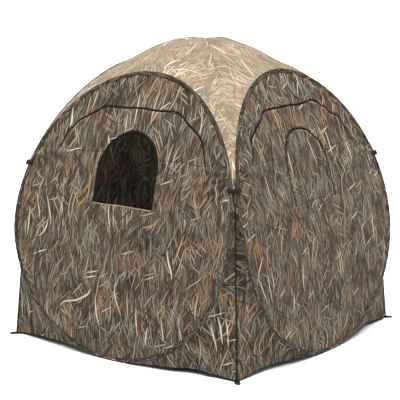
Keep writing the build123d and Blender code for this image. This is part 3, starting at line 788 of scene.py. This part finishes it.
# --- Roof ----------------------------------------------------------------------------------------------
# Four gores of printed cloth, inked brighter and washed paler than the walls as painted light from above, are
# sewn together along the hips and into the hoops' sleeves, and swell into one dome. Each turns with its own
# hoop.
# Painted light: the roof's print is brighter and paler than the walls' to stand in for the light falling on
# it from above.
roof_print_painted_light = reed_print("roof_print_painted_light", strength=1.1, wash=0.25, wash_colour=(0.34, 0.27, 0.19))
roof_apex = hoop_top + 0.130
tie_reach = 0.70005
hip_shares = (1.0, 0.94, 0.746, 0.492, 0.0)
hip_heights = [tie_level + (roof_apex - tie_level) * share for share in hip_shares]
hip_curve = np.polyfit([0.0, 0.25, 0.5, 0.75, 1.0], hip_heights, 4)
roof_columns = 150
roof_rows = 44
gore_half = 0.693


def sheet_faces(rows, columns):
    """Triangles over a grid of points, row by row."""
    at = np.arange(rows * columns).reshape(rows, columns)
    a, b, c, d = at[:-1, :-1].ravel(), at[:-1, 1:].ravel(), at[1:, 1:].ravel(), at[1:, :-1].ravel()
    return np.concatenate([np.stack([a, b, c], 1), np.stack([a, c, d], 1)])


def pushed_in(points, rows, columns, depth):
    """A grid of points moved behind its own face."""
    grid = points.reshape(rows, columns, 3)
    normal = np.cross(np.gradient(grid, axis=1), np.gradient(grid, axis=0))
    normal /= np.maximum(np.linalg.norm(normal, axis=2), 1e-9)[:, :, None]
    return (grid - normal * depth).reshape(-1, 3)


for number, (side, angle) in enumerate(sides.items()):
    u = np.linspace(-gore_half, gore_half, roof_columns)[None, :] + np.zeros((roof_rows, 1))
    t = np.linspace(0, 1, roof_rows)[:, None] + 0 * u
    top = hoop_waist + (hoop_top - hoop_waist - 0.004) * np.sqrt(1 - (u / (hoop_half - 0.002)) ** 2)
    edge_out = panel_reach(top, -0.004)
    start_out = np.minimum(np.abs(u), edge_out - 0.002)
    length = edge_out - start_out
    share = np.abs(u) / tie_reach
    start_up = np.polyval(hip_curve, share)
    start_slope = np.polyval(np.polyder(hip_curve), share) / tie_reach / 2
    mean_slope = (top - start_up) / length
    end_slope = np.clip(2 * mean_slope - start_slope, -1.9, 0.1)
    out = start_out + length * t
    up = (2 * t**3 - 3 * t**2 + 1) * start_up + (t**3 - 2 * t**2 + t) * start_slope * length
    up += (3 * t**2 - 2 * t**3) * top + (t**3 - t**2) * end_slope * length
    from_hoop = length * (1 - t)
    from_hip = length * t
    held = np.clip(from_hoop / 0.03, 0, 1) * np.clip(from_hip / 0.02, 0, 1)
    puff = 0.006 * cloud(u * 4 + 9, out * 4, 300 + number)
    puff += 0.0025 * cloud(u * 13 + 9, out * 11, 310 + number)
    puff += 0.003 * np.sin(u * 62 + 3 * cloud(u * 5 + 9, out * 3, 320 + number)) * np.exp(-from_hoop / 0.05)
    pull = np.hypot(np.abs(u) - tie_reach, out - tie_reach)
    fan = np.arctan2(np.abs(u) - tie_reach, out - tie_reach)
    puff += 0.006 * np.sin(fan * 22 + 2 * cloud(fan * 3 + 9, pull * 6, 330 + number)) * np.exp(-pull / 0.16)
    up = up + puff * held - 0.0012 * np.exp(-from_hip / 0.006)
    place = turn_to(side, np.stack([u.ravel(), -out.ravel(), up.ravel()], 1))
    inner = pushed_in(place, roof_rows, roof_columns, cloth_thick)
    if (inner[:, 2] - place[:, 2]).mean() > 0:
        inner = 2 * place - inner
    prints = np.stack([u.ravel() + 2.3 * number, out.ravel() * 1.1 + 5.0], 1)
    faces = sheet_faces(roof_rows, roof_columns)
    first = place[faces[:, 1]] - place[faces[:, 0]]
    second = place[faces[:, 2]] - place[faces[:, 0]]
    if np.cross(first, second)[:, 2].mean() < 0:
        faces = faces[:, ::-1]
    gore = sew(f"{side}_roof_gore", place, inner, faces, prints, (roof_print_painted_light, inner_coat))
    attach(gore, side)
    outward = (math.sin(angle), -math.cos(angle), 0.0)
    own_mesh(gore)
    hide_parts(f"{side}_roof")

# --- Roof rods -----------------------------------------------------------------------------------------
# Two glass fibre rods cross under the crown and lie under the hip seams. Each is made of lengths that fit
# over each other at thicker joints. Real ones come out before the blind is folded.
rod_fibre, rod_tree, rod_shader, rod_spot = new_finish("rod_fibre")
rod_grain = mottle(rod_tree, rod_spot, 90.0, 3.0).outputs["Fac"]
rod_colour = blend_colour(rod_tree, rod_grain, (0.010, 0.010, 0.011, 1), (0.045, 0.043, 0.040, 1))
rod_tree.links.new(rod_colour, rod_shader.inputs["Base Color"])
rod_shader.inputs["Roughness"].default_value = 0.35
rod_share = 0.80
rod_under_seam = 0.0135
diagonal = 0.70711
for name, hand, drop in (("roof_rod_near", 1, 0.0), ("roof_rod_far", -1, 0.011)):
    s = np.linspace(-rod_share, rod_share, 240)
    height = np.polyval(hip_curve, np.abs(s)) - rod_under_seam - drop
    centre = np.stack([s * tie_reach, -hand * s * tie_reach, height], 1)
    thick = np.where(np.abs((np.abs(s) * 3.2 % 1) - 0.5) < 0.06, 0.0050, 0.0040)
    way = np.gradient(centre, axis=0)
    way /= np.linalg.norm(way, axis=1)[:, None]
    level = np.array([hand * diagonal, diagonal, 0.0])
    rise = np.cross(way, level)
    ring = np.linspace(0, 2 * math.pi, 12, endpoint=False)
    spokes = np.cos(ring)[None, :, None] * level[None, None, :]
    spokes = spokes + np.sin(ring)[None, :, None] * rise[:, None, :]
    rings = centre[:, None, :] + spokes * thick[:, None, None]
    prints = np.stack([ring[None, :] * 0.004 + 0 * s[:, None], s[:, None] + 0 * ring[None, :]], 2)
    rod = sweep_ring(f"{name}_pole", rings, prints, False, rod_fibre)
    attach(rod, "front")
    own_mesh(rod)
    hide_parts(name)

# --- Corner gussets ------------------------------------------------------------------------------------
# Cloth fills the four corners below the ties, from each hoop to a corner seam that runs down to the stake.
# A black webbing strip down each corner seam is painted shadow for the dark gap between the gussets, and a
# black band along the ground edge is painted contact shadow.
gusset_rows = 90
gusset_columns = 60
gusset_top = 1.050
gusset_split = 42
corner_bodies = {
    ("front", 1): ("front", "right"), ("right", -1): ("front", "right"),
    ("front", -1): ("front", "left"), ("left", 1): ("front", "left"),
    ("right", 1): ("right", "back"), ("back", -1): ("right", "back"),
}
corner_spread = 0.06195
corner_clearance = 0.004


def corner_reach(z):
    """How far out the corner seam stands at a height: it stays close behind the hoops above the tie."""
    below = np.minimum(z, tie_level)
    above = np.maximum(z, tie_level)
    hoop_u = hoop_half * np.sqrt(1 - ((above - hoop_waist) / (hoop_top - hoop_waist)) ** 2)
    between = (hoop_u + panel_reach(above)) / 2 - tie_reach
    return tie_reach + corner_spread * (1 - below / tie_level) + between + corner_clearance


def corner_place(side, hand):
    """The corner at a panel's end, seen from above, as a unit way out along its diagonal."""
    return turn_to(side, np.array([[hand * diagonal, -diagonal, 0.0]]))[0]


def join_corner(piece, side, hand):
    """Fasten a corner piece to its one wall where the corner is open; at any other corner only bake its
    placement into its mesh.
    """
    bodies = corner_bodies.get((side, hand))
    if bodies is None:
        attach(piece, side)
        return
    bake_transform(piece)


for number, side in enumerate(sides):
    for hand in (-1, 1):
        t = np.linspace(0, 1, gusset_columns)[None, :] + np.zeros((gusset_rows, 1))
        v = np.linspace(0, 1, gusset_rows)[:, None] ** 1.15 + 0 * t
        foot = 0.004 + 0.020 * np.sin(math.pi * t) ** 1.2
        z = foot + (gusset_top - foot) * v
        rise = np.where(z > hoop_waist, hoop_top - hoop_waist, hoop_waist)
        hoop_u = (hoop_half - 0.010) * np.sqrt(np.clip(1 - ((z - hoop_waist) / (rise - 0.002)) ** 2, 0, 1))
        hoop_out = panel_reach(z, -0.003)
        seam = corner_reach(z)
        u = hoop_u + (seam - hoop_u) * t
        out = hoop_out + (seam - hoop_out) * t
        width = seam - hoop_u
        seed = 400 + 2 * number + (hand > 0)
        hung = np.clip(t / 0.1, 0, 1) * np.clip((1 - t) / 0.08, 0, 1) * np.clip(width / 0.2, 0, 1)
        fold = 0.012 * cloud(u * 6 + 4, z * 2.4, seed) + 0.005 * cloud(u * 17 + 4, z * 6, seed + 20)
        fold += -0.020 * np.exp(-(((t - 0.80) / 0.13) ** 2)) * np.exp(-(((z - 0.50) / 0.17) ** 2))
        pucker = np.sin(z * 46 + 8 * t + 2 * cloud(u * 4, z * 4, seed + 40))
        fold += 0.006 * pucker * np.exp(-(1 - t) * width / 0.07) * (z > 0.3)
        fold = fold * hung - 0.010 * np.sin(math.pi * t) * np.clip(width / 0.3, 0, 1)
        sewn = np.stack([hand * (u + 0.2 * fold).ravel(), -(out + fold).ravel(), z.ravel()], 1)
        place = turn_to(side, sewn)
        outward = turn_to(side, np.array([[hand * 0.2, -1.0, 0.0]]))[0]
        inner = pushed_in(place, gusset_rows, gusset_columns, cloth_thick)
        if ((inner - place) @ outward).mean() > 0:
            inner = 2 * place - inner
        prints = np.stack([hand * u.ravel() + 1.9 * number + 0.9, z.ravel() + 0.43 * number + 1.7], 1)
        gusset_parts = (("foot", 0, gusset_split), ("neck", gusset_split, gusset_rows - 1))
        for part, first_row, last_row in gusset_parts:
            rows = last_row - first_row + 1
            kept = slice(first_row * gusset_columns, (last_row + 1) * gusset_columns)
            faces = sheet_faces(rows, gusset_columns)
            spots = place[kept]
            first = spots[faces[:, 1]] - spots[faces[:, 0]]
            second = spots[faces[:, 2]] - spots[faces[:, 0]]
            if (np.cross(first, second) @ outward).mean() < 0:
                faces = faces[:, ::-1]
            end = "right" if hand > 0 else "left"
            gusset_name = f"{side}_{end}_gusset_{part}"
            cloths = (wall_print, inner_coat, webbing)
            gusset = sew(gusset_name, spots, inner[kept], faces, prints[kept], cloths)
            # Painted shadow: the lowest row of faces of each gusset foot takes the black webbing, standing in
            # for the contact shadow along the ground.
            if part == "foot":
                for face in gusset.data.polygons:
                    if min(k % len(spots) for k in face.vertices) < gusset_columns:
                        face.material_index = 2
            join_corner(gusset, side, hand)
            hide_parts(f"{side}_gussets")

corner_names = {
    ("front", 1): "near_corner", ("front", -1): "left_corner",
    ("back", -1): "right_corner", ("back", 1): "far_corner",
}
for (side, hand), corner in corner_names.items():
    z = np.linspace(0.006, 0.93, 150)
    reach = corner_reach(z) + 0.0015
    # Painted shadow: the black strip stands in for the dark gap where the two gussets meet, and widens
    # towards the ground as that gap does.
    wide = np.interp(z, (0.0, 0.35, 0.93), (0.0050, 0.0034, 0.0024))
    ring = np.linspace(0, 2 * math.pi, 8, endpoint=False)
    way_out = corner_place(side, hand)
    level = np.array([-way_out[1], way_out[0], 0.0])
    centre = np.stack([way_out[0] * reach * math.sqrt(2), way_out[1] * reach * math.sqrt(2), z], 1)
    centre += level * (0.002 * cloud(z * 7, 0 * z, 500 + hand))[:, None]
    spokes = np.cos(ring)[None, :, None] * level * wide[:, None, None] * 1.3
    spokes = spokes + np.sin(ring)[None, :, None] * way_out * 0.0028
    prints = np.stack([ring[None, :] * 0.003 + 0 * z[:, None], z[:, None] + 0 * ring[None, :]], 2)
    binding = sweep_ring(f"{corner}_binding", centre[:, None, :] + spokes, prints, False, webbing)
    join_corner(binding, side, hand)

# --- Corner ties, stake tabs and eyelets ---------------------------------------------------------------
# Black webbing ties hold neighbouring hoops together at each corner. At the ground a doubled webbing tab
# with an enamelled eyelet takes the stake.
tie_spots = 41
tie_half_wide = 0.0115
tie_thick = 0.0022
tab_middle = 1.0926
tab_half_wide = 0.015
eye_reach = 1.1076
eye_radius = 0.0073
for (side, hand), corner in corner_names.items():
    a = np.linspace(0, 1, tie_spots)
    along = np.interp(a, (0, 0.4, 0.5, 0.6, 1), (0.664, 0.700, 0.709, 0.700, 0.664))
    stand = panel_reach(np.full(tie_spots, tie_level)) + 0.0085
    crossing = np.clip((a - 0.42) / 0.16, 0, 1)
    first_side = np.stack([hand * along, -stand, tie_level + 0 * a], 1)
    second_side = np.stack([hand * stand, -along, tie_level + 0 * a], 1)
    centre = first_side * (1 - crossing[:, None]) + second_side * crossing[:, None]
    centre = turn_to(side, centre)
    way_out = corner_place(side, hand)
    spots = [(-1, 0), (-1, 1), (1, 1), (1, 0)]
    lean = np.array([0, 0, 1.0]) - way_out * 0.30
    rings = np.stack([centre + lean * s * tie_half_wide + way_out * h * tie_thick for s, h in spots], 1)
    over = np.array([s * tie_half_wide for s, h in spots])
    prints = np.stack([over[None, :] + 0 * a[:, None], a[:, None] * 0.1 + 0 * over[None, :]], 2)
    tie = sweep_ring(f"{corner}_tie_strap", rings, prints, False, webbing)
    join_corner(tie, side, hand)
    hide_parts(f"{side}_corner_ties")

    out_line = []
    for k in range(48):
        turn = 2 * math.pi * k / 48
        end_middle = tab_middle + tab_half_wide * math.copysign(1, math.cos(turn))
        out_line.append((end_middle + tab_half_wide * math.cos(turn), tab_half_wide * math.sin(turn)))
    eye_turns = [2 * math.pi * k / 24 for k in range(24)]
    hole = np.array([(eye_reach + eye_radius * math.cos(a), eye_radius * math.sin(a)) for a in eye_turns])
    flat, faces = cut_cloth(np.array(out_line), hole, step=0.004)
    level = np.array([-way_out[1], way_out[0], 0.0])
    base = flat[:, :1] * way_out[None, :] + flat[:, 1:] * level[None, :]
    curl = 0.010 * np.clip((1.088 - flat[:, 0]) / 0.025, 0, 1) ** 2
    top = base + np.stack([0 * curl, 0 * curl, 0.0060 + curl], 1)
    under = base + np.stack([0 * curl, 0 * curl, 0.0028 + curl * 0.7], 1)
    tab = sew(f"{corner}_stake_tab", top, under, faces, flat, (webbing,))
    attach(tab, side)
    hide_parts(f"{side}_stake_tabs")

# --- Steel and enamel ----------------------------------------------------------------------------------
# The hoops' spring steel bands and their crimped ferrules, and the black enamelled sliders and eyelets, keep
# their machined shapes and get the finish that wear leaves on them.
steel = bpy.data.materials.new("spring_steel")
enamel = bpy.data.materials.new("black_enamel")
worn_finishes = (
    # material, colour in the hollows, colour where it is rubbed, least and most roughness
    (steel, (0.30, 0.31, 0.33, 1), (0.52, 0.53, 0.55, 1), (0.22, 0.42)),
    (enamel, (0.008, 0.008, 0.009, 1), (0.05, 0.05, 0.052, 1), (0.28, 0.5)),
)
for metal, dark, light, rough in worn_finishes:
    metal.use_nodes = True
    tree = metal.node_tree
    shader = tree.nodes["Principled BSDF"]
    spot = add_node(tree, "ShaderNodeTexCoord").outputs["Object"]
    rub = mottle(tree, spot, 220.0, 5.0).outputs["Fac"]
    colour = blend_colour(tree, fade(tree, rub, 0.4, 0.72), dark, light)
    tree.links.new(colour, shader.inputs["Base Color"])
    tree.links.new(fade(tree, rub, 0.3, 0.7, *rough), shader.inputs["Roughness"])
    tree.links.new(raised(tree, rub, 0.2, 0.0003), shader.inputs["Normal"])
    shader.inputs["Metallic"].default_value = 1.0 if metal is steel else 0.0
finishes = {"_hoop": steel, "_ferrule": steel, "_slider": enamel, "_eyelets": enamel}
for node_name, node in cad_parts.items():
    for ending, metal in finishes.items():
        if node_name.endswith(ending):
            node.data.materials.clear()
            node.data.materials.append(metal)
